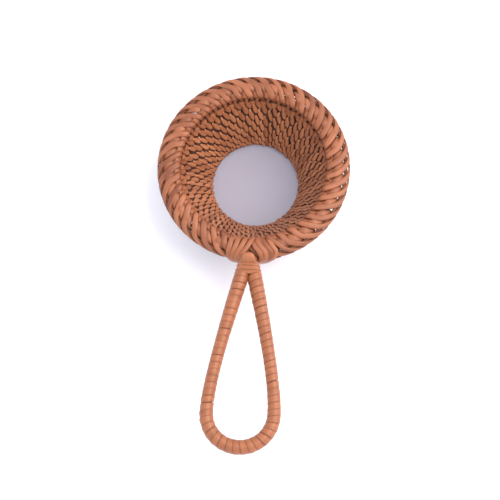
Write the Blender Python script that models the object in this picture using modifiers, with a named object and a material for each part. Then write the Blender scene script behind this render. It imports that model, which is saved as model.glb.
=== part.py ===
"""Hand-woven rattan tea strainer: a conical woven bowl with a rolled border and a wrapped loop handle.

The bowl is built from upright stakes that pass in front of and behind round weft hoops. Every stake
runs on over the crest hoop and ties down the two rim hoops. A filter gauze is clamped under the
stakes by the foot ring, and a bent cane core carries the handle wrapping.
"""
import math

import bmesh
import bpy
from mathutils import Vector
from mathutils.geometry import interpolate_bezier

MM = 0.001
NAME = "tea_strainer"

# Bowl, as radius and height from the bowl's own axis and the surface it stands on
STAKES = 42
WEFT_HOOPS = 6
WALL_FOOT = (19.1, 3.0)
WALL_BULGE = ((22.4, 9.0), (27.6, 17.0))
WALL_TOP = (30.9, 24.0)
WALL_SKEW = 8.0
HOOP_RADIUS = 0.45
STAKE_THICKNESS = 0.7
STAKE_WIDTH_FOOT = 2.0
STAKE_WIDTH_BORDER = 2.7
GAP = 0.3
FIRST_HOOP_AT = 0.10
LAST_HOOP_AT = 0.90
HOOP_FLAT = 0.22

# Border roll
CREST_HOOP = (33.4, 27.2)
CREST_HOOP_RADIUS = 1.1
RIM_HOOP_RADIUS = 0.85
RIM_HOOP_UPPER = (38.6, 28.2)
RIM_HOOP_LOWER = (38.6, 26.2)
BORDER_SWEEP = 9.0
CREST_SLACK = 0.1

# Foot and filter
FOOT_RING_INNER = 19.3
FOOT_RING_OUTER = 22.3
FOOT_RING_HEIGHT = 1.9
FOOT_RING_ROUND = 0.3
GAUZE_RADIUS = 21.5
GAUZE_THICKNESS = 0.3

# Handle, as distance from the bowl's axis and half of the distance between the legs
HANDLE_Z = 22.0
CORE_RADIUS = 1.75
WRAP_RADIUS = 2.85
WRAP_THICKNESS = 0.75
NECK_START = (43.0, 2.05)
LEG_LEAN = ((54.5, 4.95), (90.0, 14.2))
LOOP_CENTRE = 103.8
LOOP_RADIUS = 13.85
LEG_STEPS = 14
LOOP_STEPS = 12
WRAP_STARTS = 48.0
ANCHOR_ROUTE = ((41.0, 1.95), (38.8, 2.2), (37.3, 3.5), (36.6, 6.2), (35.7, 9.8))

# Bindings
NECK_SLEEVE = (43.0, 46.9)
NECK_HALF_WIDTH = (4.9, 5.95)
NECK_HALF_HEIGHT = 2.85
NECK_WALL = 0.8
NECK_ROUND = 2.2
NECK_BORE_ROUND = 1.4
NECK_BORE_OVERRUN = 1.0
LASHING_THICKNESS = 0.7
LASHING_FROM = 5.6
LASHING_SPAN = 10.4
LASHING_SLACK = 0.1
HANDLE_BEARING = -90.0
ANCHOR_RADIUS = 37.1
ANCHOR_SLACK = 0.4
ANCHOR_OUTER_SLACK = 0.9
CAP_HALF_SPAN = 4.5
CAP_START = (36.4, 30.6)
CAP_END = (42.1, 26.6)
BAND_STEPS = 3

RIM_OUTER = RIM_HOOP_UPPER[0] + RIM_HOOP_RADIUS + GAP + STAKE_THICKNESS
HANDLE_END = LOOP_CENTRE + LOOP_RADIUS + WRAP_RADIUS
BOWL_Y = (HANDLE_END - RIM_OUTER) / 2.0


def clear_scene():
    for old in list(bpy.data.objects):
        bpy.data.objects.remove(old)


def new_collection(name):
    collection = bpy.data.collections.new(name)
    bpy.context.scene.collection.children.link(collection)
    return collection


def make_material(name, colour, roughness):
    material = bpy.data.materials.new(name)
    material.use_nodes = True
    shader = material.node_tree.nodes["Principled BSDF"]
    shader.inputs["Base Color"].default_value = (*colour, 1.0)
    shader.inputs["Roughness"].default_value = roughness
    shader.inputs["Metallic"].default_value = 0.0
    return material


def add_object(name, data, collection, parent, material=None):
    """Link an object for the mesh or curve, in its collection and under the bowl's axis."""
    piece = bpy.data.objects.new(name, data)
    collection.objects.link(piece)
    piece.parent = parent
    if material and not data.materials:
        data.materials.append(material)
    return piece


def wall_point(t):
    """Point (radius, height) on the middle surface of the wall, from the foot at 0 to the top at 1."""
    knots = [Vector((r, z, 0.0)) for r, z in (WALL_FOOT, *WALL_BULGE, WALL_TOP)]
    a, b, c, d = knots
    s = 1.0 - t
    point = a * s**3 + b * (3.0 * s * s * t) + c * (3.0 * s * t * t) + d * t**3
    return Vector((point.x, point.y))


def wall_normal(t):
    """Outward normal of the wall in the radius and height plane."""
    step = 0.01
    along = (wall_point(t + step) - wall_point(t - step)).normalized()
    return Vector((along.y, -along.x))


def hoop_position(index):
    return FIRST_HOOP_AT + (LAST_HOOP_AT - FIRST_HOOP_AT) * index / (WEFT_HOOPS - 1)


def around(centre, reach, degrees):
    """Point at a distance and direction from a hoop's centre, in the radius and height plane."""
    angle = math.radians(degrees)
    return Vector((centre[0] + reach * math.cos(angle), centre[1] + reach * math.sin(angle)))


def stake_stations(phase):
    """Stations (radius, height, angle, width) of one stake, from the foot to the tip under the rim."""
    offset = HOOP_RADIUS + GAP + STAKE_THICKNESS / 2.0
    pitch = (LAST_HOOP_AT - FIRST_HOOP_AT) / (WEFT_HOOPS - 1)
    stations = [(wall_point(0.0), 0.0)]
    for index in range(WEFT_HOOPS):
        side = offset if (index + phase) % 2 == 0 else -offset
        for shift in (-HOOP_FLAT, HOOP_FLAT):
            t = hoop_position(index) + shift * pitch
            stations.append((wall_point(t) + wall_normal(t) * side, t))
    crest_reach = CREST_HOOP_RADIUS + GAP + STAKE_THICKNESS / 2.0 + CREST_SLACK
    rim_reach = RIM_HOOP_RADIUS + GAP + STAKE_THICKNESS / 2.0
    over = [
        around(CREST_HOOP, crest_reach, 200.0),
        around(CREST_HOOP, crest_reach, 145.0),
        around(CREST_HOOP, crest_reach, 95.0),
        around(RIM_HOOP_UPPER, rim_reach, 105.0),
        around(RIM_HOOP_UPPER, rim_reach, 50.0),
        around(RIM_HOOP_UPPER, rim_reach, 0.0),
        around(RIM_HOOP_LOWER, rim_reach, -20.0),
        around(RIM_HOOP_LOWER, rim_reach, -80.0),
    ]
    for index, point in enumerate(over):
        stations.append((point, 1.0 + (index + 1) / len(over)))
    result = []
    for point, progress in stations:
        on_wall = min(progress, 1.0)
        on_border = max(progress - 1.0, 0.0)
        angle = math.radians(WALL_SKEW * on_wall + BORDER_SWEEP * on_border)
        width = STAKE_WIDTH_FOOT + (STAKE_WIDTH_BORDER - STAKE_WIDTH_FOOT) * on_wall
        result.append((point.x, point.y, angle, width))
    return result


def ribbon_mesh(name, stations):
    """Flat strip through the stations, its width lying across the radius."""
    mesh = bpy.data.meshes.new(name)
    bm = bmesh.new()
    rails = []
    for side in (-0.5, 0.5):
        verts = []
        for radius, height, angle, width in stations:
            middle = Vector((math.cos(angle), math.sin(angle), 0.0)) * radius
            across = Vector((-math.sin(angle), math.cos(angle), 0.0)) * width * side
            verts.append(bm.verts.new((middle + across + Vector((0.0, 0.0, height))) * MM))
        rails += [bm.edges.new(pair) for pair in zip(verts, verts[1:])]
    bmesh.ops.bridge_loops(bm, edges=rails)
    bm.to_mesh(mesh)
    bm.free()
    return mesh


def solidify(piece, thickness, offset=0.0):
    shell = piece.modifiers.new("thickness", "SOLIDIFY")
    shell.thickness = thickness * MM
    shell.offset = offset
    shell.use_even_offset = True


def make_stakes(collection, axis, material):
    """Upright stakes in two alternating phases, so that neighbours pass the hoops on opposite sides."""
    meshes = [ribbon_mesh(f"stake_phase_{phase}", stake_stations(phase)) for phase in (0, 1)]
    for index in range(STAKES):
        stake = add_object(f"stake_{index + 1:02d}", meshes[index % 2], collection, axis, material)
        stake.rotation_euler.z = 2.0 * math.pi * index / STAKES
        solidify(stake, STAKE_THICKNESS)


def make_hoop(name, radius, height, section, collection, axis, material):
    """Closed ring of round cane with one facet per stake."""
    bpy.ops.mesh.primitive_torus_add(
        major_radius=radius * MM,
        minor_radius=section * MM,
        major_segments=STAKES,
        minor_segments=6,
    )
    hoop = bpy.context.object
    hoop.name = name
    hoop.data.name = name
    for owner in list(hoop.users_collection):
        owner.objects.unlink(hoop)
    collection.objects.link(hoop)
    hoop.parent = axis
    hoop.location.z = height * MM
    hoop.data.materials.append(material)
    hoop.data.shade_smooth()


def make_hoops(collection, axis, material):
    for index in range(WEFT_HOOPS):
        point = wall_point(hoop_position(index))
        make_hoop(f"weft_hoop_{index + 1}", point.x, point.y, HOOP_RADIUS, collection, axis, material)
    make_hoop("crest_hoop", *CREST_HOOP, CREST_HOOP_RADIUS, collection, axis, material)
    make_hoop("rim_hoop_upper", *RIM_HOOP_UPPER, RIM_HOOP_RADIUS, collection, axis, material)
    make_hoop("rim_hoop_lower", *RIM_HOOP_LOWER, RIM_HOOP_RADIUS, collection, axis, material)


def profile_mesh(name, points, closed):
    """Wire profile in the XZ plane at +X, ready for a Screw modifier."""
    mesh = bpy.data.meshes.new(name)
    bm = bmesh.new()
    verts = [bm.verts.new((r * MM, 0.0, z * MM)) for r, z in points]
    for pair in zip(verts, verts[1:]):
        bm.edges.new(pair)
    if closed:
        bm.edges.new((verts[-1], verts[0]))
    bm.to_mesh(mesh)
    bm.free()
    return mesh


def turn(piece, degrees, steps):
    screw = piece.modifiers.new("turn", "SCREW")
    screw.angle = math.radians(degrees)
    screw.steps = steps
    screw.render_steps = steps
    screw.axis = "Z"
    screw.merge_threshold = 0.00001
    screw.use_merge_vertices = True


def make_foot(collection, axis, rattan, gauze_material):
    """Foot ring with a flat underside, and the filter gauze that it clamps under the stakes."""
    inner, outer, top, soft = FOOT_RING_INNER, FOOT_RING_OUTER, FOOT_RING_HEIGHT, FOOT_RING_ROUND
    outline = [(outer - soft, top), (outer, top - soft), (outer, 0.0), (inner, 0.0), (inner, top)]
    ring = add_object("foot_ring", profile_mesh("foot_ring", outline, True), collection, axis, rattan)
    turn(ring, 360.0, STAKES)
    bpy.ops.mesh.primitive_cylinder_add(
        vertices=STAKES,
        radius=GAUZE_RADIUS * MM,
        depth=GAUZE_THICKNESS * MM,
    )
    gauze = bpy.context.object
    gauze.name = "filter_gauze"
    for owner in list(gauze.users_collection):
        owner.objects.unlink(gauze)
    collection.objects.link(gauze)
    gauze.parent = axis
    gauze.location.z = (FOOT_RING_HEIGHT + GAP + GAUZE_THICKNESS / 2.0) * MM
    gauze.data.materials.append(gauze_material)


def handle_point(distance, half_gap, side):
    return Vector((side * half_gap, -distance, HANDLE_Z)) * MM


def handle_route():
    """Middle line of the loop, from the neck down one leg, round the end and up the other leg."""
    start = Vector((*NECK_START, 0.0))
    end = Vector((LOOP_CENTRE, LOOP_RADIUS, 0.0))
    lean = [Vector((*point, 0.0)) for point in LEG_LEAN]
    leg = interpolate_bezier(start, lean[0], lean[1], end, LEG_STEPS + 1)
    down = [handle_point(p.x, p.y, -1.0) for p in leg]
    up = [handle_point(p.x, p.y, 1.0) for p in reversed(leg)]
    arc = []
    for step in range(1, LOOP_STEPS):
        angle = math.pi * step / LOOP_STEPS
        distance = LOOP_CENTRE + LOOP_RADIUS * math.sin(angle)
        arc.append(handle_point(distance, -LOOP_RADIUS * math.cos(angle), 1.0))
    return down + arc + up


def trimmed(route, distance):
    """Part of the loop's middle line that lies beyond a distance from the bowl's axis."""
    limit = -distance * MM
    kept = []
    for a, b in zip(route, route[1:]):
        if (a.y > limit) != (b.y > limit):
            kept.append(a.lerp(b, (limit - a.y) / (b.y - a.y)))
        if b.y <= limit:
            kept.append(b)
    return kept


def tube_curve(name, points, radius, resolution, caps):
    curve = bpy.data.curves.new(name, "CURVE")
    curve.dimensions = "3D"
    curve.bevel_depth = radius * MM
    curve.bevel_resolution = resolution
    curve.use_fill_caps = caps
    spline = curve.splines.new("POLY")
    spline.points.add(len(points) - 1)
    for knot, point in zip(spline.points, points):
        knot.co = (*point, 1.0)
    return curve


def make_handle(collection, axis, rattan, skin):
    """Bent cane core whose ends spread under the border, and the sleeve of wrapping strip around it."""
    route = handle_route()
    anchor_left = [handle_point(d, h, -1.0) for d, h in reversed(ANCHOR_ROUTE)]
    anchor_right = [handle_point(d, h, 1.0) for d, h in ANCHOR_ROUTE]
    core_route = anchor_left + route + anchor_right
    core_data = tube_curve("handle_core", core_route, CORE_RADIUS, 1, True)
    add_object("handle_core", core_data, collection, axis, rattan)

    sleeve_curve = tube_curve("handle_wrap_route", trimmed(route, WRAP_STARTS), WRAP_RADIUS, 2, False)
    guide = add_object("handle_wrap_route", sleeve_curve, collection, axis)
    bpy.context.view_layer.update()
    evaluated = guide.evaluated_get(bpy.context.evaluated_depsgraph_get())
    sleeve_mesh = bpy.data.meshes.new_from_object(evaluated)
    bpy.data.objects.remove(guide)
    sleeve_mesh.name = "handle_wrap"
    sleeve = add_object("handle_wrap", sleeve_mesh, collection, axis, skin)
    solidify(sleeve, WRAP_THICKNESS, -1.0)


def tapered_block(name, near, far, half_widths, half_height, soften, collection, axis):
    """Block along the handle that widens from the near to the far end, with its long edges rounded."""
    mesh = bpy.data.meshes.new(name)
    bm = bmesh.new()
    bmesh.ops.create_cube(bm, size=2.0)
    for vert in bm.verts:
        at_far_end = vert.co.y < 0.0
        distance = far if at_far_end else near
        half_width = half_widths[1] if at_far_end else half_widths[0]
        vert.co = Vector((vert.co.x * half_width, -distance, HANDLE_Z + vert.co.z * half_height)) * MM
    long_edges = [e for e in bm.edges if abs(e.verts[0].co.y - e.verts[1].co.y) > MM]
    bmesh.ops.bevel(bm, geom=long_edges, offset=soften * MM, segments=3, profile=0.5, affect="EDGES")
    bm.to_mesh(mesh)
    bm.free()
    return add_object(name, mesh, collection, axis)


def make_neck_binding(collection, cutters, axis, material):
    """Sleeve of binding turns that holds the two legs of the core side by side."""
    near, far = NECK_SLEEVE
    narrow, wide = NECK_HALF_WIDTH
    sleeve_size = ((narrow, wide), NECK_HALF_HEIGHT, NECK_ROUND)
    sleeve = tapered_block("neck_binding", near, far, *sleeve_size, collection, axis)
    sleeve.data.materials.append(material)
    past = NECK_BORE_OVERRUN
    growth = (wide - narrow) / (far - near) * past
    bore_widths = (narrow - NECK_WALL - growth, wide - NECK_WALL + growth)
    bore_size = (bore_widths, NECK_HALF_HEIGHT - NECK_WALL, NECK_BORE_ROUND)
    bore = tapered_block("neck_bore", near - past, far + past, *bore_size, cutters, axis)
    bore.hide_render = True
    bore.display_type = "WIRE"
    cut = sleeve.modifiers.new("bore", "BOOLEAN")
    cut.operation = "DIFFERENCE"
    cut.object = bore


def make_band(name, points, start, span, collection, axis, material):
    """Band of flat straps: a profile turned through a few degrees beside the handle."""
    band = add_object(name, profile_mesh(name, points, False), collection, axis, material)
    band.rotation_euler.z = math.radians(start)
    turn(band, span, BAND_STEPS)
    solidify(band, LASHING_THICKNESS)


def make_lashings(collection, axis, material):
    """Lashings that pull the spread core ends up against the border, and the cap over the neck."""
    clear = STAKE_THICKNESS / 2.0 + GAP + LASHING_THICKNESS / 2.0 + LASHING_SLACK
    crest_reach = CREST_HOOP_RADIUS + GAP + STAKE_THICKNESS / 2.0 + CREST_SLACK + clear
    rim_reach = RIM_HOOP_RADIUS + GAP + STAKE_THICKNESS / 2.0 + clear
    anchor = (ANCHOR_RADIUS, HANDLE_Z)
    around_core = CORE_RADIUS + GAP + LASHING_THICKNESS / 2.0
    over_rim = [
        around(RIM_HOOP_UPPER, rim_reach, 100.0),
        around(RIM_HOOP_UPPER, rim_reach, 50.0),
        around(RIM_HOOP_UPPER, rim_reach, 5.0),
    ]
    hook = [
        around(CREST_HOOP, crest_reach, 185.0),
        around(CREST_HOOP, crest_reach, 140.0),
        around(CREST_HOOP, crest_reach, 95.0),
        *over_rim,
        around(RIM_HOOP_LOWER, rim_reach, -15.0),
        around(anchor, around_core + ANCHOR_OUTER_SLACK, 0.0),
        around(anchor, around_core + ANCHOR_SLACK, -45.0),
        around(anchor, around_core + ANCHOR_SLACK, -90.0),
        around(anchor, around_core + ANCHOR_SLACK, -140.0),
    ]
    right = HANDLE_BEARING + LASHING_FROM
    left = HANDLE_BEARING - LASHING_FROM - LASHING_SPAN
    make_band("rim_lashing_right", hook, right, LASHING_SPAN, collection, axis, material)
    make_band("rim_lashing_left", hook, left, LASHING_SPAN, collection, axis, material)
    cap = [CAP_START, *over_rim, CAP_END]
    cap_start = HANDLE_BEARING - CAP_HALF_SPAN
    make_band("neck_cap", cap, cap_start, 2.0 * CAP_HALF_SPAN, collection, axis, material)


def main():
    clear_scene()
    parts = new_collection(NAME)
    cutters = new_collection(f"{NAME}_cutters")
    axis = bpy.data.objects.new("bowl_axis", None)
    parts.objects.link(axis)
    axis.location.y = BOWL_Y * MM

    cane = make_material("rattan_core", (0.42, 0.20, 0.09), 0.6)
    strand = make_material("rattan_strand", (0.45, 0.20, 0.10), 0.5)
    skin = make_material("rattan_skin", (0.58, 0.25, 0.13), 0.4)
    gauze = make_material("filter_gauze", (0.62, 0.60, 0.66), 0.5)

    make_stakes(parts, axis, strand)
    make_hoops(parts, axis, cane)
    make_foot(parts, axis, cane, gauze)
    make_handle(parts, axis, cane, skin)
    make_neck_binding(parts, cutters, axis, skin)
    make_lashings(parts, axis, skin)


main()
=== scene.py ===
"""Hand-woven rattan tea strainer, laid out as an add-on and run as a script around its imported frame.

Lengths are in millimetres unless a name or a property says otherwise, and each strand, strap and
cane is swept along the route that a weaver would lead it.
"""

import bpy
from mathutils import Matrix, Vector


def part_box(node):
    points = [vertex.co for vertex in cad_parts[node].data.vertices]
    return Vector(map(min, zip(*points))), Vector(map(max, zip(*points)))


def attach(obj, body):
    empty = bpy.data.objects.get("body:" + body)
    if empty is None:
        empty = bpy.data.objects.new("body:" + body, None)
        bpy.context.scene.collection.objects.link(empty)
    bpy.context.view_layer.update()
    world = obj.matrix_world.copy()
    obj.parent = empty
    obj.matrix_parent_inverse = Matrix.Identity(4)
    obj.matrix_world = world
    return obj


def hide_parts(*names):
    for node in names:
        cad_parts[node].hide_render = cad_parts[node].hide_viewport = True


bl_info = {
    "name": "Rattan Tea Strainer",
    "version": (1, 0, 0),
    "blender": (4, 5, 0),
    "location": "3D View > Sidebar > Tea Strainer",
    "description": "Weaves the bowl, border and wrapped loop handle of a rattan tea strainer",
    "category": "Add Mesh",
}

import math
import random

import bmesh
import bpy
from bpy.props import FloatProperty, FloatVectorProperty, IntProperty, PointerProperty
from mathutils import Matrix, Vector, noise
from mathutils.geometry import interpolate_bezier

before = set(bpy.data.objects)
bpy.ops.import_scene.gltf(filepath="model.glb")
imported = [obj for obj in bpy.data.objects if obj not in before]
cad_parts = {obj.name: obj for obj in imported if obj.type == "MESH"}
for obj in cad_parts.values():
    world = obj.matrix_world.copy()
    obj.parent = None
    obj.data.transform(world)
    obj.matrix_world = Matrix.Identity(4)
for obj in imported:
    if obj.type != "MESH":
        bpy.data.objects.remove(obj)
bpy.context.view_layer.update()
MM = 0.001


def from_hex(code):
    """Linear colour of an sRGB hex code such as c98766."""
    channels = [int(code[i:i + 2], 16) / 255.0 for i in (0, 2, 4)]
    return tuple(c / 12.92 if c <= 0.04045 else ((c + 0.055) / 1.055) ** 2.4 for c in channels)


# Places read from the frame, in millimetres from the bowl's axis and the surface it stands on


def node_box(node):
    low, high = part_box(node)
    return low / MM, high / MM


def ring_of(node):
    """Middle radius, height and section radius of one of the frame's round hoops."""
    low, high = node_box(node)
    section = (high.z - low.z) / 2.0
    return (high.x - low.x) / 2.0 - section, (high.z + low.z) / 2.0, section


FOOT_LOW, FOOT_HIGH = node_box("foot_ring")
AXIS = Vector(((FOOT_LOW.x + FOOT_HIGH.x) / 2.0, (FOOT_LOW.y + FOOT_HIGH.y) / 2.0, 0.0))
FOOT_RADIUS = (FOOT_HIGH.x - FOOT_LOW.x) / 2.0
FOOT_WIDTH = 3.0
GAUZE_LOW, GAUZE_HIGH = node_box("filter_gauze")
GAUZE_LEVEL = FOOT_HIGH.z + 0.12
GAUZE_RADIUS = (GAUZE_HIGH.x - GAUZE_LOW.x) / 2.0
CREST_R, CREST_Z = ring_of("crest_hoop")[:2]
RIM_R, RIM_TOP_Z = ring_of("rim_hoop_upper")[:2]
RIM_LOW_Z = ring_of("rim_hoop_lower")[1]
STAKES = [name for name in sorted(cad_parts) if name.startswith("stake_")]
WEFT_HOOPS = [name for name in sorted(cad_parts) if name.startswith("weft_hoop_")]
WRAP_LOW, WRAP_HIGH = node_box("handle_wrap")
ROD_RADIUS = (WRAP_HIGH.z - WRAP_LOW.z) / 2.0
HANDLE_Z = (WRAP_HIGH.z + WRAP_LOW.z) / 2.0
LOOP_RADIUS = (WRAP_HIGH.x - WRAP_LOW.x) / 2.0 - ROD_RADIUS
LOOP_DISTANCE = AXIS.y - WRAP_LOW.y - ROD_RADIUS - LOOP_RADIUS
NECK_LOW, NECK_HIGH = node_box("neck_binding")
NECK_NEAR, NECK_FAR = AXIS.y - NECK_HIGH.y, AXIS.y - NECK_LOW.y
HANDLE_BEARING = -90.0
UP = Vector((0.0, 0.0, 1.0))


class WeaveSettings(bpy.types.PropertyGroup):
    """Sizes and colours of the bowl and its border."""
    strands: IntProperty(
        name="Strands", description="Upright strands round the bowl, an even number", default=84, min=24)
    rows: IntProperty(name="Weft Rows", description="Hidden canes that the strands cross", default=8, min=3)
    foot_width: FloatProperty(name="Foot Width", description="Strand width at the foot, mm", default=1.45)
    top_width: FloatProperty(name="Top Width", description="Strand width at the top, mm", default=2.2)
    thickness: FloatProperty(name="Thickness", description="Strand thickness, mm", default=0.70)
    wave: FloatProperty(name="Wave", description="How far a strand swings in and out, mm", default=0.62)
    weft_overlap: FloatProperty(
        name="Weft Overlap", description="Width of a weft over the step to the next", default=1.34)
    skew: FloatProperty(
        name="Skew", description="Turn of a strand from the foot to the top, in degrees", default=8.0)
    strap_width: FloatProperty(name="Strap Width", description="Border strap width, mm", default=2.95)
    sweep: FloatProperty(
        name="Sweep", description="Slant of the border straps, in degrees", default=9.5)
    fibres: IntProperty(
        name="Fibres", description="Lifted fibres at the crest, and as many on the wall", default=16, min=0)
    strand_colour: FloatVectorProperty(
        name="Strand Colour", description="Split rattan strands", subtype="COLOR", size=3,
        default=from_hex("8c5233"))
    cane_colour: FloatVectorProperty(
        name="Cane Colour", description="Round cane of the hoops and core", subtype="COLOR", size=3,
        default=from_hex("774a2f"))
    # Painted shade: the wefts show only in the gaps of the weave, so their dark colour stands in for the
    # shade there.
    weft_shade_colour: FloatVectorProperty(
        name="Weft Colour", description="Wefts, dark with tea", subtype="COLOR", size=3,
        default=from_hex("44261a"))
    # Painted shade: the gauze's grey lavender stands in for the shade that falls in the bowl's hole.
    gauze_shade_colour: FloatVectorProperty(
        name="Gauze Colour", description="Threads of the filter gauze", subtype="COLOR", size=3,
        default=from_hex("a8a6b5"))


class HandleSettings(bpy.types.PropertyGroup):
    """Sizes and colours of the loop handle and its bindings."""
    pitch: FloatProperty(name="Wrap Pitch", description="Step from turn to turn, mm", default=2.9)
    strip: FloatProperty(name="Strip Thickness", description="Thickness of the peel strip, mm", default=0.55)
    strap_width: FloatProperty(name="Lashing Width", description="Lashing strap width, mm", default=2.15)
    straps: IntProperty(
        name="Lashing Straps", description="Straps on each side of the neck", default=4, min=2)
    peel_colour: FloatVectorProperty(
        name="Peel Colour", description="Rattan peel strip", subtype="COLOR", size=3,
        default=from_hex("935735"))


class StageSettings(bpy.types.PropertyGroup):
    """Floor and light."""
    floor_colour: FloatVectorProperty(
        name="Floor Colour", description="Pale floor", subtype="COLOR", size=3,
        default=from_hex("f4f3f6"))
    fill_colour: FloatVectorProperty(
        name="Fill Colour", description="Light from all round", subtype="COLOR", size=3,
        default=from_hex("e5e8f1"))
    fill: FloatProperty(name="Fill", description="Strength of the light from all round", default=1.75)
    key_power: FloatProperty(
        name="Key", description="Power of the soft key lamp", default=8.5, unit="POWER")


# Routes and sweeps


def spot(radius, height, degrees):
    """World point in millimetres at a radius, height and bearing from the bowl's axis."""
    angle = math.radians(degrees)
    return AXIS + Vector((radius * math.cos(angle), radius * math.sin(angle), height))


def facing(tilt, degrees):
    """Unit vector in the upright plane at a bearing: outward at a tilt of 0 and upward at 90."""
    angle, lift = math.radians(degrees), math.radians(tilt)
    flat = Vector((math.cos(angle), math.sin(angle), 0.0)) * math.cos(lift)
    return flat + UP * math.sin(lift)


def smooth(knots, steps, closed=False):
    """Catmull-Rom run through rows of numbers, with some steps from each row to the next."""
    count = len(knots)
    last = count if closed else count - 1
    rows = []
    for index in range(last):
        if closed:
            four = [knots[(index + shift) % count] for shift in (-1, 0, 1, 2)]
        else:
            four = [knots[min(max(index + shift, 0), count - 1)] for shift in (-1, 0, 1, 2)]
        for step in range(steps):
            t = step / steps
            rows.append([
                b + 0.5 * t * (c - a + t * (2 * a - 5 * b + 4 * c - d + t * (3 * (b - c) + d - a)))
                for a, b, c, d in zip(*four)
            ])
    if not closed:
        rows.append(list(knots[-1]))
    return rows


def section(points, squareness):
    """Unit outline of a strip: a circle at a squareness of 2, with flatter faces above it."""
    power = 2.0 / squareness
    outline = []
    for index in range(points):
        angle = 2.0 * math.pi * (index + 0.5) / points
        c, s = math.cos(angle), math.sin(angle)
        outline.append((math.copysign(abs(c) ** power, c), math.copysign(abs(s) ** power, s)))
    return outline


ROUND = section(10, 2.0)
STRIP = section(10, 2.6)
FLAT = section(14, 4.6)


def sweep(bm, stations, outline, seed, closed=False):
    """Skin a strip over stations of (point, normal, width, thickness), in millimetres.

    The grain layer holds the length along the strip, the place across it from -1 to 1, and a number
    of its own for each strip.
    """
    grain = bm.verts.layers.float_vector["grain"]
    count = len(stations)
    rings = []
    length = 0.0
    for index, (point, normal, width, thickness) in enumerate(stations):
        before = stations[(index - 1) % count if closed else max(index - 1, 0)][0]
        after = stations[(index + 1) % count if closed else min(index + 1, count - 1)][0]
        along = (after - before).normalized()
        across = along.cross(normal).normalized()
        out = across.cross(along)
        if index:
            length += (point - stations[index - 1][0]).length
        ring = []
        for x, y in outline:
            place = point + across * (x * width / 2.0) + out * (y * thickness / 2.0)
            vert = bm.verts.new(place * MM)
            vert[grain] = (length, x, seed)
            ring.append(vert)
        rings.append(ring)
    pairs = list(zip(rings, rings[1:]))
    if closed:
        pairs.append((rings[-1], rings[0]))
    sides = len(outline)
    for near, far in pairs:
        for side in range(sides):
            following = (side + 1) % sides
            bm.faces.new((near[side], near[following], far[following], far[side]))
    if not closed:
        bm.faces.new(list(reversed(rings[0])))
        bm.faces.new(rings[-1])


def lay(bm, knots, steps, outline, seed, closed=False):
    """Sweep a strip along knots of (radius, height, bearing, width, thickness, tilt of its face)."""
    rows = [
        (*spot(radius, height, bearing), *facing(tilt, bearing), width, thickness)
        for radius, height, bearing, width, thickness, tilt in knots
    ]
    stations = [
        (Vector(row[:3]), Vector(row[3:6]), row[6], row[7]) for row in smooth(rows, steps, closed)
    ]
    sweep(bm, stations, outline, seed, closed)


def lay_ring(bm, radius, height, width, thickness, tilt, steps, outline, seed):
    """Sweep a strip round a level circle."""
    knots = [(radius, height, 15.0 * step, width, thickness, tilt) for step in range(24)]
    lay(bm, knots, steps, outline, seed, closed=True)


def start_mesh():
    """Empty mesh with the grain layer that the rattan materials read."""
    bm = bmesh.new()
    bm.verts.layers.float_vector.new("grain")
    return bm


def finish_piece(name, bm, material, stands_for=()):
    """Turn the mesh into a smooth piece that rides on the strainer's one body."""
    bmesh.ops.recalc_face_normals(bm, faces=bm.faces)
    mesh = bpy.data.meshes.new(name)
    bm.to_mesh(mesh)
    bm.free()
    mesh.materials.append(material)
    mesh.shade_smooth()
    piece = bpy.data.objects.new(name, mesh)
    bpy.context.scene.collection.objects.link(piece)
    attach(piece, "root")
    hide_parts(*stands_for)
    return piece


# Materials


def add_node(tree, kind, inputs=None, **settings):
    """Add a node with its settings, and give its inputs a value or a link by name or number."""
    made = tree.nodes.new(kind)
    for name, value in settings.items():
        setattr(made, name, value)
    for key, value in (inputs or {}).items():
        if isinstance(value, bpy.types.NodeSocket):
            tree.links.new(value, made.inputs[key])
        else:
            made.inputs[key].default_value = value
    return made


def set_ramp(ramp, stops):
    """Give a colour ramp its stops of (place, linear colour)."""
    while len(ramp.elements) < len(stops):
        ramp.elements.new(1.0)
    for element, (place, colour) in zip(ramp.elements, stops):
        element.position = place
        element.color = (*colour, 1.0)


def shade(colour, factor):
    return tuple(min(c * f, 1.0) for c, f in zip(colour, factor))


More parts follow.
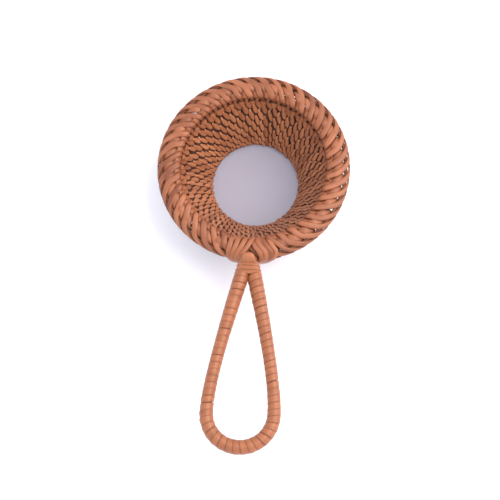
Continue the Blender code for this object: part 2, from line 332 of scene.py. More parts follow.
def rattan(name, colour, fibre, relief, roughness, gloss, pale=(1.0, 1.0, 1.0)):
    """Rattan surface: fibres run along the strip, and each strip has a tone of its own.

    The fibre is its width in millimetres, the relief its height, and gloss the weight of the clear
    layer that the peel has and the split inside has not. Pale multiplies the colour of a strip's first
    stretch, up to the bend over the crest, as painted light that brightens the wall inside the bowl.
    """
    found = bpy.data.materials.get(name)
    if found:
        return found
    material = bpy.data.materials.new(name)
    material.use_nodes = True
    tree = material.node_tree
    tree.nodes.clear()
    grain = add_node(tree, "ShaderNodeAttribute", attribute_name="grain").outputs["Vector"]
    half_width = 1.3
    streaks = add_node(tree, "ShaderNodeVectorMath", {0: grain, 1: (0.09, half_width / fibre, 37.0)},
                       operation="MULTIPLY").outputs[0]
    fibres = add_node(tree, "ShaderNodeTexNoise", {"Vector": streaks, "Scale": 1.0, "Detail": 4.0,
                                                   "Roughness": 0.6}).outputs[0]
    patches = add_node(tree, "ShaderNodeVectorMath", {0: grain, 1: (0.16, 0.6, 91.0)},
                       operation="MULTIPLY").outputs[0]
    mottle = add_node(tree, "ShaderNodeTexNoise", {"Vector": patches, "Scale": 1.0,
                                                   "Detail": 3.0}).outputs[0]
    parts = add_node(tree, "ShaderNodeSeparateXYZ", {0: grain})
    tone = add_node(tree, "ShaderNodeMath", {0: parts.outputs["Z"], 1: 0.46, 2: -0.23},
                    operation="MULTIPLY_ADD").outputs[0]
    tone = add_node(tree, "ShaderNodeMath", {0: mottle, 1: 0.80, 2: tone},
                    operation="MULTIPLY_ADD").outputs[0]
    tone = add_node(tree, "ShaderNodeMath", {0: fibres, 1: 0.58, 2: tone},
                    operation="MULTIPLY_ADD").outputs[0]
    ramp = add_node(tree, "ShaderNodeValToRGB", {"Fac": tone})
    set_ramp(ramp.color_ramp, [
        (0.36, shade(colour, (0.60, 0.50, 0.44))),
        (0.60, shade(colour, (0.92, 0.90, 0.88))),
        (0.74, colour),
        (0.98, shade(colour, (1.22, 1.26, 1.30))),
    ])
    # Painted shade: each strip darkens towards its two edges, standing in for the contact shade where strips
    # meet.
    edge = add_node(tree, "ShaderNodeMath", {0: parts.outputs["Y"]}, operation="ABSOLUTE").outputs[0]
    edge = add_node(tree, "ShaderNodeMath", {0: edge, 1: 6.0}, operation="POWER").outputs[0]
    edge = add_node(tree, "ShaderNodeMath", {0: edge, 1: 0.8}, operation="MULTIPLY").outputs[0]
    edge_shade_colour = shade(colour, (0.42, 0.34, 0.30))
    tinted = add_node(tree, "ShaderNodeMix", {0: edge, 6: ramp.outputs[0], 7: (*edge_shade_colour, 1.0)},
                      data_type="RGBA").outputs[2]
    # Painted light: a strip's first stretch, on the wall inside the bowl, is brightened by pale, fading out
    # towards the crest.
    wall_light_fade = add_node(tree, "ShaderNodeMapRange", {0: parts.outputs["X"], 1: 27.0, 2: 35.0, 3: 1.0,
                                                 4: 0.0}).outputs[0]
    tinted = add_node(tree, "ShaderNodeMix", {0: wall_light_fade, 6: tinted, 7: (*pale, 1.0)},
                      data_type="RGBA", blend_type="MULTIPLY").outputs[2]
    rough = add_node(tree, "ShaderNodeMapRange", {0: fibres, 1: 0.3, 2: 0.7, 3: roughness - 0.08,
                                                  4: roughness + 0.12}).outputs[0]
    height = add_node(tree, "ShaderNodeMath", {0: mottle, 1: 0.6, 2: fibres},
                      operation="MULTIPLY_ADD").outputs[0]
    bump = add_node(tree, "ShaderNodeBump", {"Height": height, "Distance": relief * MM,
                                             "Strength": 0.8}).outputs[0]
    surface = add_node(tree, "ShaderNodeBsdfPrincipled", {
        "Base Color": tinted, "Roughness": rough, "Normal": bump, "IOR": 1.5,
        "Specular IOR Level": 0.34, "Coat Weight": gloss, "Coat Roughness": 0.28})
    add_node(tree, "ShaderNodeOutputMaterial", {"Surface": surface.outputs[0]})
    return material


def split_strand():
    """Rattan split by hand and planed: fine open fibres, so a soft satin without a clear layer."""
    colour = tuple(bpy.context.scene.strainer_weave.strand_colour)
    # The last three numbers brighten the strands' wall stretch: painted light inside the bowl.
    return rattan("Rattan split strand, hand planed", colour, 0.22, 0.12, 0.42, 0.12,
                  (1.34, 1.55, 1.68))


def round_cane():
    """Rattan core drawn through a round die: pithy and matt, with coarser fibres."""
    colour = tuple(bpy.context.scene.strainer_weave.cane_colour)
    return rattan("Rattan core cane, die drawn", colour, 0.30, 0.12, 0.62, 0.0)


def shaded_weft():
    """Rattan weft, matt and rough, seen only between strands: its dark colour is painted shade in the gaps
    of the weave.
    """
    colour = tuple(bpy.context.scene.strainer_weave.weft_shade_colour)
    return rattan("Rattan weft, dark as painted shade", colour, 0.30, 0.12, 0.75, 0.0)


def peel_strip():
    """Rattan peel scraped and polished by use: the smooth outer skin, with a broad warm sheen."""
    colour = tuple(bpy.context.scene.strainer_handle.peel_colour)
    return rattan("Rattan peel strip, scraped and polished", colour, 0.34, 0.09, 0.38, 0.16)


def muslin():
    """Bleached cotton muslin, plain woven: a soft see-through veil with no sheen. Its lavender grey colour
    is painted shade of the hollow under the bowl.

    Its threads are 0.35 mm apart, too fine to show from far away, so they are drawn at that pitch and
    give an even tone there.
    """
    pitch = 0.35
    material = bpy.data.materials.new("Cotton muslin, plain woven")
    material.use_nodes = True
    tree = material.node_tree
    tree.nodes.clear()
    colour = tuple(bpy.context.scene.strainer_weave.gauze_shade_colour)
    place = add_node(tree, "ShaderNodeTexCoord").outputs["Object"]
    waves = []
    for direction in ("X", "Y"):
        wave = add_node(tree, "ShaderNodeTexWave", {
            "Vector": place, "Scale": math.pi / 10.0 / (pitch * MM), "Distortion": 0.6, "Detail": 1.0,
            "Detail Scale": 0.5}, bands_direction=direction)
        waves.append(wave.outputs["Fac"])
    thread = add_node(tree, "ShaderNodeMath", {0: waves[0], 1: waves[1]}, operation="MAXIMUM").outputs[0]
    cover = add_node(tree, "ShaderNodeMapRange", {0: thread, 1: 0.3, 2: 0.8, 3: 0.50, 4: 0.86}).outputs[0]
    bump = add_node(tree, "ShaderNodeBump", {"Height": thread, "Distance": 0.08 * MM}).outputs[0]
    surface = add_node(tree, "ShaderNodeBsdfPrincipled", {
        "Base Color": (*colour, 1.0), "Roughness": 0.85, "Alpha": cover, "Normal": bump,
        "Sheen Weight": 0.1})
    add_node(tree, "ShaderNodeOutputMaterial", {"Surface": surface.outputs[0]})
    return material


# Bowl


def wall_line():
    """Middle line of the wall through its hoops, run on by part of a step at both ends."""
    past = 0.62
    hoops = [Vector(ring_of(node)[:2]) for node in WEFT_HOOPS]
    foot = hoops[0] + (hoops[0] - hoops[1]) * past
    top = hoops[-1] + (hoops[-1] - hoops[-2]) * past
    return [Vector(row) for row in smooth([tuple(knot) for knot in (foot, *hoops, top)], 8)]


WALL = wall_line()


def wall_at(share):
    """Point (radius, height) of the wall and the tilt of its inner face, at a share of the way up it.

    The foot is at 0 and the top at 1, and the wall runs on straight below the foot.
    """
    place = min(max(share, 0.0), 1.0) * (len(WALL) - 1)
    index = min(int(place), len(WALL) - 2)
    point = WALL[index].lerp(WALL[index + 1], place - index)
    if share < 0.0:
        point = WALL[0] + (WALL[1] - WALL[0]) * share * (len(WALL) - 1)
    rise = WALL[index + 1] - WALL[index]
    return point, math.degrees(math.atan2(rise.y, rise.x)) + 90.0


# A float's knots, as shares of a row's step and of the strand's width: long and pointed inside the bowl,
# short outside
IN_FRONT = ((-0.70, 0.64), (-0.42, 1.00), (-0.10, 1.14), (0.28, 0.98), (0.66, 0.56))
BEHIND = ((-0.16, 0.80), (0.16, 0.80))
# Shares of the wall from the foot up, and how much faster the rows spread towards the top
LOWEST_ROW = 0.05
ROWS_SPAN = 0.75
ROW_GROWTH = 1.15
LOWER_BAND = 0.920
BACKING = 0.95
WEFT_THICKNESS = 0.34
WEFT_STAGGER = 0.2
BACKING_WIDTH = 5.2
BACKING_THICKNESS = 0.36
UPPER_BAND_REACH = 2.10
CUT_THICKNESS = 0.6
# Slant in degrees that the border's knots are written for; the sweep setting scales their bearings
DRAWN_SWEEP = 9.5


def normal_at(tilt):
    """Direction (out, up) that a face looks in at a tilt."""
    return Vector((math.cos(math.radians(tilt)), math.sin(math.radians(tilt))))


def row_share(row, rows):
    """How far up the wall a weft row lies, or the lower band that comes after the rows."""
    if row >= rows:
        return LOWER_BAND
    return LOWEST_ROW + ROWS_SPAN * (row / (rows - 1)) ** ROW_GROWTH


def step_at(row, rows):
    """Step from a row to the next, as a share of the wall."""
    near = min(row, rows - 1)
    return row_share(near + 1, rows) - row_share(near, rows)


def over_crest(reach, tilt):
    """Place (radius, height) at a reach from the crest hoop's middle, in the direction of a tilt."""
    turn = math.radians(tilt)
    return CREST_R + reach * math.cos(turn), CREST_Z + reach * math.sin(turn)


def wall_knots(strand, weave, draw):
    """Knots of one strand from its cut end at the foot, over and under the wefts, to the lower band.

    Fat scales the strand's width, cut is the share of the wall where it ends and inward how far that
    end stands into the bowl. The strand's own bearing comes with the knots.
    """
    base = 360.0 * strand / weave.strands + draw.uniform(-0.35, 0.35)
    fat = draw.uniform(0.87, 1.08)
    cut = draw.uniform(-0.034, -0.004)
    inward = draw.uniform(-0.05, 0.50)
    point, tilt = wall_at(cut)
    bearing = base - weave.skew * (1.0 - cut)
    knots = [(point.x - inward, point.y, bearing, weave.foot_width * 0.9, CUT_THICKNESS, tilt)]
    for row in range(weave.rows + 1):
        behind = (row + strand + weave.rows) % 2 == 0
        swing = weave.wave * (1.0 if behind else -1.0) * draw.uniform(0.75, 1.3)
        step = step_at(row, weave.rows)
        slant = draw.uniform(0.4, 1.6)
        slip = draw.uniform(-0.10, 0.10)
        for shift, width_share in BEHIND if behind else IN_FRONT:
            share = row_share(row, weave.rows) + (shift + slip) * step
            if share <= cut + 0.01:
                continue
            point, tilt = wall_at(share)
            middle = point - normal_at(tilt) * swing
            width = weave.foot_width + (weave.top_width - weave.foot_width) * share
            bearing = base - weave.skew * (1.0 - share) + slant * shift
            knots.append((middle.x, middle.y, bearing, width * width_share * fat, weave.thickness, tilt))
    return knots, base


def strap_knots(base, weave, draw):
    """Knots of a leading strand over the crest, out in a slant and down round the rim hoops.

    Each row is a radius, height, bearing, share of the strap's width, thickness and tilt.
    """
    lift = draw.uniform(-0.35, 0.40)
    slip = draw.uniform(-1.1, 1.1)
    turn = weave.sweep / DRAWN_SWEEP
    wide = weave.strap_width * draw.uniform(0.82, 1.12)
    over = [
        (*over_crest(2.25, 172.0), 0.4, 0.50, 0.75, 158.0),
        (*over_crest(2.80, 150.0), 0.9, 0.76, 1.05, 146.0),
        (*over_crest(3.05, 128.0), 1.8, 0.86, 1.30, 124.0),
        (*over_crest(2.85, 104.0), 3.2, 0.92, 1.35, 108.0),
        (CREST_R + 1.20, CREST_Z + 2.65 + lift, 5.0 + slip, 0.98, 1.35, 94.0),
        (CREST_R + 2.80, CREST_Z + 2.45 + lift, 7.2 + slip, 0.98, 1.2, 82.0),
        (RIM_R - 0.75, RIM_TOP_Z + 1.15, 9.8, 0.88, 1.0, 76.0),
        (RIM_R + 0.55, RIM_TOP_Z + 0.75, 12.6, 0.68, 0.95, 58.0),
        (RIM_R + 1.22, RIM_TOP_Z - 0.05, 16.0, 0.60, 0.9, 30.0),
        (RIM_R + 1.38, RIM_TOP_Z - 1.15, 19.6, 0.54, 0.85, 0.0),
        (RIM_R + 1.05, RIM_LOW_Z - 0.60, 23.0, 0.52, 0.75, -35.0),
        (RIM_R - 0.10, RIM_LOW_Z - 1.25, 26.0, 0.50, 0.7, -85.0),
        (RIM_R - 1.70, RIM_LOW_Z - 0.75, 28.0, 0.48, 0.65, -120.0),
        (CREST_R + 1.90, CREST_Z - 1.30, 29.5, 0.46, 0.6, -120.0),
    ]
    return [(r, z, base + turn * a, wide * w, t, tilt) for r, z, a, w, t, tilt in over]


def peg_knots(base, weave, draw):
    """Knots of a following strand: under the upper band, up between the straps, and in behind the rim.

    Its rows are like a strap's, with shares of the strand's top width.
    """
    lift = draw.uniform(-0.15, 0.4)
    turn = weave.sweep / DRAWN_SWEEP
    over = [
        (*over_crest(1.75, 176.0), 0.2, 0.95, 0.7, 164.0),
        (*over_crest(1.48, 140.0), 0.9, 0.90, 0.6, 138.0),
        (*over_crest(1.55, 112.0), 1.9, 1.05, 0.8, 112.0),
        (CREST_R + 0.75, CREST_Z + 2.15 + lift, 3.4, 1.24, 1.05, 98.0),
        (CREST_R + 1.90, CREST_Z + 2.45 + lift, 5.2, 1.30, 1.10, 86.0),
        (CREST_R + 3.20, CREST_Z + 2.05, 7.2, 1.20, 0.95, 74.0),
        (CREST_R + 4.05, CREST_Z + 0.95, 9.0, 1.00, 0.80, 46.0),
        (CREST_R + 3.85, CREST_Z - 0.55, 10.2, 0.88, 0.75, 0.0),
        (CREST_R + 2.90, CREST_Z - 1.70, 10.8, 0.80, 0.7, -40.0),
        (CREST_R + 1.30, CREST_Z - 2.40, 11.0, 0.74, 0.6, -75.0),
    ]
    return [(r, z, base + turn * a, weave.top_width * w, t, tilt) for r, z, a, w, t, tilt in over]


class STRAINER_OT_strands(bpy.types.Operator):
    """Weave the bowl's strands: in and out of the wefts, then over the crest into the border"""
    bl_idname = "strainer.strands"
    bl_label = "Woven Strands"

    def execute(self, context):
        weave = context.scene.strainer_weave
        draw = random.Random(11)
        bm = start_mesh()
        for strand in range(weave.strands):
            knots, base = wall_knots(strand, weave, draw)
            knots += strap_knots(base, weave, draw) if strand % 2 == 0 else peg_knots(base, weave, draw)
            lay(bm, knots, 3, STRIP, draw.random())
        finish_piece("woven_strands", bm, split_strand(), STAKES)
        return {"FINISHED"}


class STRAINER_OT_wefts(bpy.types.Operator):
    """Lay the flat wefts that the strands cross, and weave the two bands under the crest"""
    bl_idname = "strainer.wefts"
    bl_label = "Weft Canes and Bands"

    def execute(self, context):
        weave = context.scene.strainer_weave
        draw = random.Random(23)
        bm = start_mesh()
        for row in range(weave.rows):
            point, tilt = wall_at(row_share(row, weave.rows))
            above = wall_at(row_share(row + 1, weave.rows))[0]
            width = (above - point).length * weave.weft_overlap
            aside = WEFT_STAGGER if row % 2 == 0 else -WEFT_STAGGER
            point = point + normal_at(tilt) * aside
            lay_ring(bm, point.x, point.y, width, WEFT_THICKNESS, tilt, 5, STRIP, draw.random())
        # The backing rings take the same dark weft material: painted shade behind the top of the weave.
        point, tilt = wall_at(BACKING)
        backings = ((point.x, point.y, tilt), (*over_crest(2.1, 208.0), 163.0))
        for radius, height, tilt in backings:
            lay_ring(bm, radius, height, BACKING_WIDTH, BACKING_THICKNESS, tilt, 5, STRIP, draw.random())
        finish_piece("weft_canes", bm, shaded_weft(), WEFT_HOOPS)
        self.weave_bands(weave, draw)
        return {"FINISHED"}

    def weave_bands(self, weave, draw):
        """Two flat bands that pass over one strand and under the next."""
        bm = start_mesh()
        point, tilt = wall_at(LOWER_BAND)
        lower, upper = [], []
        for strand in range(weave.strands):
            bearing = 360.0 * strand / weave.strands
            side = 1.0 if strand % 2 == 0 else -1.0
            middle = point + normal_at(tilt) * (side * weave.wave * 0.85)
            lower.append((middle.x, middle.y, bearing, draw.uniform(2.7, 3.1), 0.6, tilt))
            reach = UPPER_BAND_REACH - side * 0.55
            upper.append((*over_crest(reach, 130.0), bearing + 1.2, draw.uniform(2.7, 3.1), 0.75, 128.0))
        lay(bm, lower, 4, STRIP, draw.random(), closed=True)
        lay(bm, upper, 4, STRIP, draw.random(), closed=True)
        finish_piece("crest_bands", bm, peel_strip())


FIBRE_THICKNESS = 0.14
# Degrees round the crest that a lifted fibre covers
FIBRE_ARC = 34.0


class STRAINER_OT_fibres(bpy.types.Operator):
    """Lift a few split fibres off the strands, where these bend over the crest and dive under the wefts"""
    bl_idname = "strainer.fibres"
    bl_label = "Lifted Fibres"

    def execute(self, context):
        weave = context.scene.strainer_weave
        draw = random.Random(71)
        bm = start_mesh()
        for _ in range(weave.fibres):
            bearing = draw.uniform(0.0, 360.0)
            reach = draw.uniform(2.9, 3.5)
            start = draw.uniform(110.0, 165.0)
            spread = draw.uniform(-5.0, 5.0)
            knots = []
            for share, width in ((0.0, 0.34), (0.4, 0.30), (0.75, 0.22), (1.0, 0.12)):
                tilt = start - FIBRE_ARC * share
                place = over_crest(reach + 0.35 * math.sin(math.pi * share), tilt)
                knots.append((*place, bearing + spread * share, width, FIBRE_THICKNESS, tilt))
            lay(bm, knots, 4, ROUND, draw.random())
        for _ in range(weave.fibres):
            bearing = draw.uniform(0.0, 360.0)
            share = draw.uniform(0.45, 0.85)
            knots = []
            for rise, lift, width in ((0.0, 0.75, 0.30), (0.04, 1.15, 0.26), (0.07, 1.45, 0.14)):
                point, tilt = wall_at(share + rise)
                point = point + normal_at(tilt) * lift
                knots.append((point.x, point.y, bearing + 30.0 * rise, width, FIBRE_THICKNESS, tilt))
            lay(bm, knots, 4, ROUND, draw.random())
        finish_piece("lifted_fibres", bm, split_strand())
        return {"FINISHED"}


class STRAINER_OT_hoops(bpy.types.Operator):
    """Bend the crest and rim hoops from round cane"""
    bl_idname = "strainer.hoops"
    bl_label = "Crest and Rim Hoops"

    def execute(self, context):
        draw = random.Random(31)
        pieces = {"crest_cane": ["crest_hoop"], "rim_canes": ["rim_hoop_upper", "rim_hoop_lower"]}
        for name, hoops in pieces.items():
            bm = start_mesh()
            for hoop in hoops:
                radius, height, thick = ring_of(hoop)
                knots = []
                for step in range(36):
                    wide = 2.0 * thick * draw.uniform(0.96, 1.03)
                    knots.append((radius + draw.uniform(-0.1, 0.1), height + draw.uniform(-0.1, 0.1),
                                  10.0 * step, wide, wide, 90.0))
                lay(bm, knots, 5, ROUND, draw.random(), closed=True)
            finish_piece(name, bm, round_cane(), hoops)
        return {"FINISHED"}


# Foot


def coil(bm, centre_at, length, turns, radii, strip, seed, closed):
    """Wind a flat strip round a rod.

    centre_at gives the rod's middle point and its frame of two cross directions at a length along
    it, radii the rod's half sizes there, and strip the strip's width and thickness. The turns wander,
    lean on each other like shingles and differ a little in width, all by smooth noise.
    """
    per_turn = 26
    # Half of the stretch of rod over which the strip's width is judged, since bends squeeze and spread it
    reach = 0.4
    count = int(turns * per_turn)
    if not closed:
        count += 1
    wide, thick = strip
    stations = []
    for index in range(count):
        along = length * index / (turns * per_turn)
        turn = index / per_turn
        phase = 2.0 * math.pi * turn + 0.9 * noise.noise(Vector((along * 0.16, seed * 50.0, 3.0)))
        spread = []
        for shift in (-reach, 0.0, reach):
            middle, side, up = centre_at(along + shift)
            a, b = radii(along, phase)
            spread.append(middle + side * (a * math.cos(phase)) + up * (b * math.sin(phase)))
        stretch = (spread[2] - spread[0]).length / (2.0 * reach)
        middle, side, up = centre_at(along)
        outward = (side * (b * math.cos(phase)) + up * (a * math.sin(phase))).normalized()
        forward = side.cross(up)
        lean = 0.05 + 0.09 * noise.noise(Vector((turn * 0.7, 5.0, seed * 20.0)))
        swell = 1.0 + 0.05 * noise.noise(Vector((turn * 0.9, 11.0, seed * 30.0)))
        stations.append((spread[1], (outward + forward * lean).normalized(), wide * stretch * swell, thick))
    sweep(bm, stations, FLAT, seed, closed)


class STRAINER_OT_foot(bpy.types.Operator):
    """Wind the foot ring that clamps the gauze, and stretch the gauze over it"""
    bl_idname = "strainer.foot"
    bl_label = "Foot Ring and Gauze"

    def execute(self, context):
        thick = 0.4
        middle_radius = FOOT_RADIUS - FOOT_WIDTH / 2.0
        half_wide = FOOT_WIDTH / 2.0 - thick / 2.0
        # Flatter than the frame's ring and set a little higher, so that no turn's edge reaches the floor
        half_high = (FOOT_HIGH.z - FOOT_LOW.z) / 2.0 - thick / 2.0 - 0.09
        level = (FOOT_HIGH.z + FOOT_LOW.z) / 2.0 + 0.08
        around = 2.0 * math.pi * middle_radius
        turns = 72

        def centre_at(along):
            bearing = 360.0 * along / around
            return spot(middle_radius, level, bearing), facing(0.0, bearing), UP

        bm = start_mesh()
        coil(bm, centre_at, around, turns, lambda along, phase: (half_wide, half_high),
             (around / turns * 1.02, thick), 0.37, closed=True)
        lay_ring(bm, middle_radius, level, 2.0 * half_wide - 0.2, 2.0 * half_high - 0.2, 90.0, 4, FLAT, 0.61)
        foot = finish_piece("foot_binding", bm, peel_strip(), ["foot_ring"])
        bm = start_mesh()
        cane = 1.5
        lay_ring(bm, GAUZE_RADIUS - cane * 0.28, GAUZE_LEVEL + cane * 0.53, cane, cane, 90.0, 4, ROUND, 0.45)
        finish_piece("clamp_cane", bm, peel_strip())
        self.stretch_gauze(foot)
        return {"FINISHED"}

    def stretch_gauze(self, foot):
        """One thin disc, pulled tight, with the slightest sag in its middle."""
        rings, spokes = 22, 72
        sag, flutter = 0.25, 0.03
        bm = start_mesh()
        centre = bm.verts.new(spot(0.0, GAUZE_LEVEL - sag, 0.0) * MM)
        rows = []
        for ring in range(1, rings + 1):
            share = ring / rings
            row = []
            for spoke in range(spokes):
                bearing = 360.0 * spoke / spokes
                ripple = flutter * math.sin(math.radians(bearing) * 9.0) * share * share
                height = GAUZE_LEVEL - sag * (1.0 - share * share) + ripple
                row.append(bm.verts.new(spot(GAUZE_RADIUS * share, height, bearing) * MM))
            rows.append(row)
        for spoke in range(spokes):
            following = (spoke + 1) % spokes
            bm.faces.new((centre, rows[0][spoke], rows[0][following]))
            for near, far in zip(rows, rows[1:]):
                bm.faces.new((near[spoke], far[spoke], far[following], near[following]))
        gauze = finish_piece("gauze_disc", bm, muslin(), ["filter_gauze"])


# Handle

# Points (distance from the bowl's axis, half the gap between the legs) of the core's middle line
NECK_START = (43.0, 2.05)
LEG_LEAN = ((54.5, 4.95), (90.0, 14.2))
ANCHOR_ROUTE = ((41.0, 1.95), (38.8, 2.2), (37.3, 3.5), (36.6, 6.2), (35.7, 9.8))
# Most of the anchored end's length, and how far under the neck binding the wrapping starts
ANCHOR_LENGTH = 10.0
WRAP_UNDER_NECK = 2.9


def handle_line():
    """Middle line of the bent core as (across, distance) points, from one anchored end to the other."""
    start, end = Vector((*NECK_START, 0.0)), Vector((LOOP_DISTANCE, LOOP_RADIUS, 0.0))
    leans = [Vector((*point, 0.0)) for point in LEG_LEAN]
    leg = [(point.y, point.x) for point in interpolate_bezier(start, *leans, end, 60)]
    anchor = [(half, distance) for distance, half in reversed(ANCHOR_ROUTE)]
    arc = []
    arc_steps = 48
    for step in range(1, arc_steps):
        angle = math.pi * step / arc_steps
        arc.append((-LOOP_RADIUS * math.cos(angle), LOOP_DISTANCE + LOOP_RADIUS * math.sin(angle)))
    left = [(-across, distance) for across, distance in anchor + leg]
    return left + arc + [(-across, distance) for across, distance in reversed(left)]


class Rod:
    """Length along the handle's middle line, with the frame at each place."""

    def __init__(self, points):
        self.points = [Vector((AXIS.x + across, AXIS.y - distance, HANDLE_Z)) for across, distance in points]
        self.lengths = [0.0]
        for a, b in zip(self.points, self.points[1:]):
            self.lengths.append(self.lengths[-1] + (b - a).length)

    def place(self, along):
        """Point on the line at a length, held at its two ends."""
        along = min(max(along, 0.0), self.lengths[-1])
        low, high = 0, len(self.lengths) - 1
        while high - low > 1:
            middle = (low + high) // 2
            if self.lengths[middle] <= along:
                low = middle
            else:
                high = middle
        share = (along - self.lengths[low]) / (self.lengths[high] - self.lengths[low])
        return self.points[low].lerp(self.points[high], share)

    def length_at(self, distance):
        """Length along the line where its first leg passes a distance from the bowl's axis."""
        for point, length in zip(self.points, self.lengths):
            if AXIS.y - point.y >= distance and length > ANCHOR_LENGTH:
                return length
        raise ValueError(f"the handle never reaches {distance} mm")

    def frame_at(self, along):
        """Middle point, sideways direction and upward direction at a length."""
        reach = 1.2
        forward = (self.place(along + reach) - self.place(along - reach)).normalized()
        return self.place(along), UP.cross(forward), UP


def rod_half(along, length):
    """Half thickness of the wrapped rod: stout at the neck and the end, slimmer in the legs."""
    share = abs(2.0 * along / length - 1.0)
    return ROD_RADIUS + 0.02 + 0.22 * math.cos(2.0 * math.pi * share) + 0.06 * share ** 4


class STRAINER_OT_handle(bpy.types.Operator):
    """Bend the cane core of the loop and wind the peel strip round it"""
    bl_idname = "strainer.handle"
    bl_label = "Loop Handle"

    def execute(self, context):
        settings = context.scene.strainer_handle
        rod = Rod(handle_line())
        bm = start_mesh()
        core = 2.0 * (ROD_RADIUS - 0.75) * 0.94
        core_steps = 140
        stations = []
        for step in range(core_steps + 1):
            middle = rod.frame_at(rod.lengths[-1] * step / core_steps)[0]
            stations.append((middle, UP, core, core))
        sweep(bm, stations, ROUND, 0.4)
        finish_piece("core_cane", bm, round_cane(), ["handle_core"])

        start = rod.length_at(NECK_FAR - WRAP_UNDER_NECK)
        length = rod.lengths[-1] - 2.0 * start
        thick = settings.strip

        def centre_at(along):
            return rod.frame_at(start + along)

        def radii(along, phase):
            ridge = 1.0 + 0.022 * math.cos(3.0 * phase + 0.9)
            half = (rod_half(along, length) - thick / 2.0) * ridge
            return half, half

        bm = start_mesh()
        turns = round(length / settings.pitch)
        coil(bm, centre_at, length, turns, radii, (length / turns * 1.04, thick), 0.52, closed=False)
        finish_piece("handle_strip", bm, peel_strip(), ["handle_wrap"])
        return {"FINISHED"}


def neck_half(distance):
    """Half width of the bound neck, which widens away from the bowl."""
    narrow, widening, lead = 3.75, 2.0, 3.9
    return narrow + widening * (distance - NECK_NEAR + lead) / (NECK_FAR - NECK_NEAR + lead)


class STRAINER_OT_neck(bpy.types.Operator):
    """Bind the two legs together at the neck, and bring the cap strap over the rim"""
    bl_idname = "strainer.neck"
    bl_label = "Neck Binding and Cap"

    def execute(self, context):
        draw = random.Random(47)
        turns, step = 4, 1.42
        # The turns rise towards the bowl, where the last of them meets the cap
        first, highest = 2.75, 5.2
        bm = start_mesh()
        for turn in range(turns):
            before = turns - 1 - turn
            distance = NECK_FAR - first - step * before
            lift = highest * (before / (turns - 1)) ** 1.05 / 2.0
            half_wide = neck_half(distance)
            half_high = ROD_RADIUS + 0.09 * turn + lift
            stations = []
            points = 48
            for index in range(points):
                angle = 2.0 * math.pi * index / points
                c, s = math.cos(angle), math.sin(angle)
                x = math.copysign(abs(c) ** 0.72, c) * half_wide
                z = math.copysign(abs(s) ** 0.8, s) * half_high
                sag = 0.3 * (1.0 - c * c) * (1.0 if s > 0 else 0.4)
                lean = 0.9 if s > 0.0 else 0.1
                out = Vector((c / half_wide, -lean * abs(s) / half_high, s / half_high)).normalized()
                point = AXIS + Vector((x, -distance - sag, HANDLE_Z + lift + z))
                stations.append((point, out, 2.1, 0.6))
            sweep(bm, stations, FLAT, 0.85 + 0.4 * draw.random(), closed=True)
        finish_piece("neck_straps", bm, peel_strip(), ["neck_binding"])

        bm = start_mesh()
        knots = [
            (RIM_R - 0.6, RIM_TOP_Z + 2.4, HANDLE_BEARING, 2.0, 0.8, 110.0),
            (RIM_R - 0.2, RIM_TOP_Z + 3.1, HANDLE_BEARING, 4.2, 1.2, 95.0),
            (RIM_R + 0.6, RIM_TOP_Z + 3.2, HANDLE_BEARING, 5.8, 1.4, 80.0),
            (RIM_R + 1.6, RIM_TOP_Z + 2.7, HANDLE_BEARING, 6.6, 1.4, 64.0),
            (RIM_R + 2.4, RIM_TOP_Z + 1.4, HANDLE_BEARING, 7.0, 1.2, 50.0),
            (RIM_R + 2.6, RIM_TOP_Z - 0.4, HANDLE_BEARING, 7.0, 0.9, 20.0),
        ]
        lay(bm, knots, 5, STRIP, 0.9)
        finish_piece("neck_dome", bm, peel_strip(), ["neck_cap"])
        return {"FINISHED"}


# Each fan of straps: its piece, the frame's node, its side, the bearing of its first strap and the step
# to the next, inside the crest and then at the rim, and how far it lies above the other fan
LASHINGS = (
    ("lashing_right", "rim_lashing_right", 1.0, (-1.0, 4.6), (8.6, 3.1), 0.0),
    ("lashing_left", "rim_lashing_left", -1.0, (-4.4, 5.7), (4.5, 2.6), 0.5),
)
LASHING_THICKNESS = 0.72


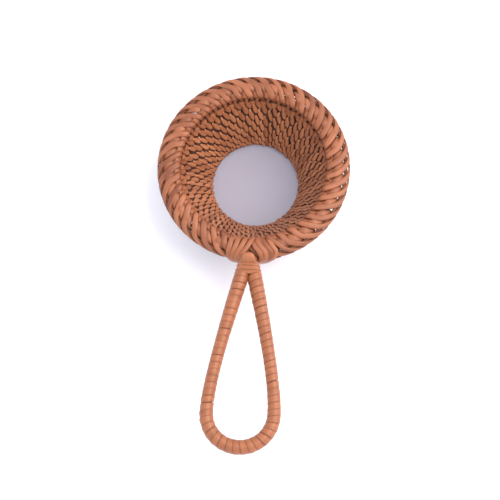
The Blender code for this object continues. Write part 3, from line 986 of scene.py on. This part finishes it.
class STRAINER_OT_lashings(bpy.types.Operator):
    """Lash the spread ends of the core to the border, with a fan of straps on each side of the neck"""
    bl_idname = "strainer.lashings"
    bl_label = "Rim Lashings"

    def execute(self, context):
        settings = context.scene.strainer_handle
        draw = random.Random(59)
        for name, node, side, starts, ends, higher in LASHINGS:
            bm = start_mesh()
            for strap in reversed(range(settings.straps)):
                inner = side * (starts[0] + starts[1] * strap)
                outer = side * (ends[0] + ends[1] * strap)
                tucked = side * (5.2 + 1.0 * strap)
                above = 0.26 * (settings.straps - 1 - strap) + higher
                wide = settings.strap_width * draw.uniform(0.86, 1.10)
                # Radius, height, share of the way from inner to outer, share of the tuck, and tilt
                route = [
                    (CREST_R - 2.4, CREST_Z - 3.8, 0.0, 0.0, 150.0),
                    (CREST_R - 2.75, CREST_Z - 1.4, 0.03, 0.0, 162.0),
                    (CREST_R - 2.0, CREST_Z + 1.4, 0.14, 0.0, 142.0),
                    (CREST_R - 0.2, CREST_Z + 3.0, 0.34, 0.0, 114.0),
                    (RIM_R - 2.8, RIM_TOP_Z + 2.45, 0.60, 0.0, 92.0),
                    (RIM_R - 0.2, RIM_TOP_Z + 2.0, 0.88, 0.0, 70.0),
                    (RIM_R + 1.5, RIM_TOP_Z + 0.5, 1.0, 0.22, 36.0),
                    (RIM_R + 2.1, RIM_TOP_Z - 2.2, 1.0, 0.60, 4.0),
                    (RIM_R + 1.7, HANDLE_Z + 0.8, 1.0, 0.90, -8.0),
                    (RIM_R + 0.8, HANDLE_Z - 1.8, 1.0, 1.0, -40.0),
                    (RIM_R - 1.3, HANDLE_Z - 2.8, 1.0, 1.0, -90.0),
                    (RIM_R - 3.6, HANDLE_Z - 1.8, 1.0, 1.0, -140.0),
                    (RIM_R - 4.4, HANDLE_Z + 0.6, 1.0, 1.0, 175.0),
                ]
                knots = []
                for radius, height, share, tuck, tilt in route:
                    bearing = inner + (outer - inner) * share
                    bearing += (tucked - bearing) * tuck
                    knots.append((radius, height + above, HANDLE_BEARING + bearing, wide,
                                  LASHING_THICKNESS, tilt))
                lay(bm, knots, 5, STRIP, 0.75 * draw.random())
            finish_piece(name, bm, peel_strip(), [node])
        return {"FINISHED"}


# Stage

# Floor and lamp, in metres
FLOOR_HALF = 2.0
FLOOR_DROP = 0.0002
LAMP_PLACE = Vector((0.488, 0.11, 0.70))
LAMP_SIZE = 0.9
# Camera: degrees round the bowl, above the floor and about its own axis, then millimetres
CAMERA_TURN = 11.0
CAMERA_RISE = 74.2
CAMERA_ROLL = -8.1
CAMERA_LENS = 135.8
CAMERA_DISTANCE = 789.0
CAMERA_AIM = (0.1, -34.0, 20.5)


class STRAINER_OT_stage(bpy.types.Operator):
    """Set the pale floor, the soft lights and the camera"""
    bl_idname = "strainer.stage"
    bl_label = "Stage"

    def execute(self, context):
        stage = context.scene.strainer_stage
        scene = context.scene
        scene.view_settings.view_transform = "Standard"
        bm = bmesh.new()
        bmesh.ops.create_grid(bm, x_segments=1, y_segments=1, size=FLOOR_HALF)
        mesh = bpy.data.meshes.new("floor")
        bm.to_mesh(mesh)
        bm.free()
        floor = bpy.data.objects.new("floor", mesh)
        floor.location.z = -FLOOR_DROP
        scene.collection.objects.link(floor)
        material = bpy.data.materials.new("Painted board, rolled")
        material.use_nodes = True
        tree = material.node_tree
        tree.nodes.clear()
        surface = add_node(tree, "ShaderNodeBsdfPrincipled", {
            "Base Color": (*stage.floor_colour, 1.0), "Roughness": 0.8, "Specular IOR Level": 0.2})
        add_node(tree, "ShaderNodeOutputMaterial", {"Surface": surface.outputs[0]})
        mesh.materials.append(material)

        world = bpy.data.worlds.new("studio")
        scene.world = world
        world.use_nodes = True
        background = world.node_tree.nodes["Background"]
        background.inputs["Color"].default_value = (*stage.fill_colour, 1.0)
        background.inputs["Strength"].default_value = stage.fill

        middle = AXIS * MM
        lamp_data = bpy.data.lights.new("key", "AREA")
        lamp_data.shape = "DISK"
        lamp_data.size = LAMP_SIZE
        lamp_data.energy = stage.key_power
        lamp_data.color = from_hex("fff3ea")
        lamp = bpy.data.objects.new("key", lamp_data)
        scene.collection.objects.link(lamp)
        lamp.location = middle + LAMP_PLACE
        lamp.rotation_euler = (middle - lamp.location).to_track_quat("-Z", "Y").to_euler()
        self.set_camera(scene)
        return {"FINISHED"}

    def set_camera(self, scene):
        """Camera high over the handle side, turned a little about its own axis."""
        azimuth, elevation, roll = map(math.radians, (CAMERA_TURN, CAMERA_RISE, CAMERA_ROLL))
        back = Vector((math.sin(azimuth) * math.cos(elevation), -math.cos(azimuth) * math.cos(elevation),
                       math.sin(elevation)))
        data = bpy.data.cameras.new("camera")
        data.sensor_width = 36.0
        data.lens = CAMERA_LENS
        camera = bpy.data.objects.new("camera", data)
        scene.collection.objects.link(camera)
        aim = (AXIS + Vector(CAMERA_AIM)) * MM
        camera.location = aim + back * CAMERA_DISTANCE * MM
        turn = (-back).to_track_quat("-Z", "Y").to_matrix() @ Matrix.Rotation(roll, 3, "Z")
        camera.rotation_euler = turn.to_euler()
        scene.camera = camera


class STRAINER_PT_panel(bpy.types.Panel):
    """Steps and settings of the tea strainer"""
    bl_idname = "STRAINER_PT_panel"
    bl_label = "Tea Strainer"
    bl_space_type = "VIEW_3D"
    bl_region_type = "UI"
    bl_category = "Tea Strainer"

    def draw(self, context):
        for group in ("strainer_weave", "strainer_handle", "strainer_stage"):
            settings = getattr(context.scene, group)
            box = self.layout.box()
            for name in settings.bl_rna.properties.keys():
                if name not in ("rna_type", "name"):
                    box.prop(settings, name)
        for step in STEPS:
            self.layout.operator(step.bl_idname)


STEPS = (
    STRAINER_OT_strands,
    STRAINER_OT_wefts,
    STRAINER_OT_fibres,
    STRAINER_OT_hoops,
    STRAINER_OT_foot,
    STRAINER_OT_handle,
    STRAINER_OT_neck,
    STRAINER_OT_lashings,
    STRAINER_OT_stage,
)
GROUPS = {
    "strainer_weave": WeaveSettings,
    "strainer_handle": HandleSettings,
    "strainer_stage": StageSettings,
}


def register():
    for group in (*GROUPS.values(), *STEPS, STRAINER_PT_panel):
        bpy.utils.register_class(group)
    for name, group in GROUPS.items():
        setattr(bpy.types.Scene, name, PointerProperty(type=group))


def unregister():
    for name in GROUPS:
        delattr(bpy.types.Scene, name)
    for group in reversed((*GROUPS.values(), *STEPS, STRAINER_PT_panel)):
        bpy.utils.unregister_class(group)


def main():
    register()
    for step in STEPS:
        family, name = step.bl_idname.split(".")
        getattr(getattr(bpy.ops, family), name)()


if __name__ == "__main__":
    main()
